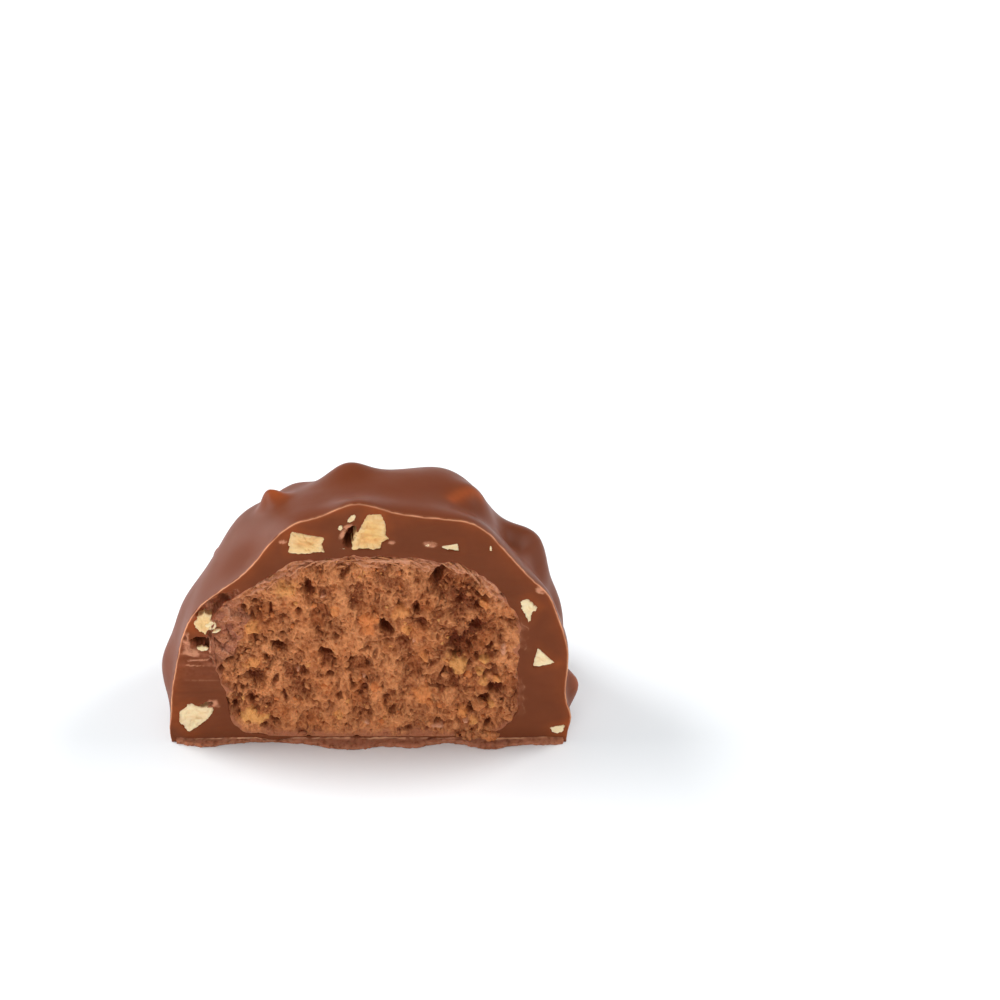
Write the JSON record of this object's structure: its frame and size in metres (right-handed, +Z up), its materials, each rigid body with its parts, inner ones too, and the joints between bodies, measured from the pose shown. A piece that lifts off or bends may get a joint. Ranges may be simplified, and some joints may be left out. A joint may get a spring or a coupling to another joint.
{
  "type": "halved hazelnut praline",
  "caption": "Half of a dome-shaped milk chocolate praline, cut to show its crumbly hazelnut filling and the chopped nuts in its shell.",
  "frame": {"origin": "middle of the outside box, at the flat underside that the praline rests on", "axes": "+Z up, the knife cut faces -Y, and +X is along the cut to the right as seen from the front"},
  "size_m": [0.0333, 0.0176, 0.0235],
  "materials": {
    "milk_chocolate": "satin milk chocolate, silky on the coating and matt where the knife cut it",
    "praline": "matt and crumbly, with grains of toasted nut",
    "hazelnut": "cut nut flesh, pale and waxy"
  },
  "bodies": {
    "root": {"chocolate_shell": "milk_chocolate", "praline_filling": "praline", "hazelnut_crest": "hazelnut", "hazelnut_crest_left": "hazelnut", "hazelnut_crest_right": "hazelnut", "hazelnut_right_upper": "hazelnut", "hazelnut_right_middle": "hazelnut", "hazelnut_right_foot": "hazelnut", "hazelnut_left_upper": "hazelnut", "hazelnut_left_foot": "hazelnut"}
  },
  "joints": []
}
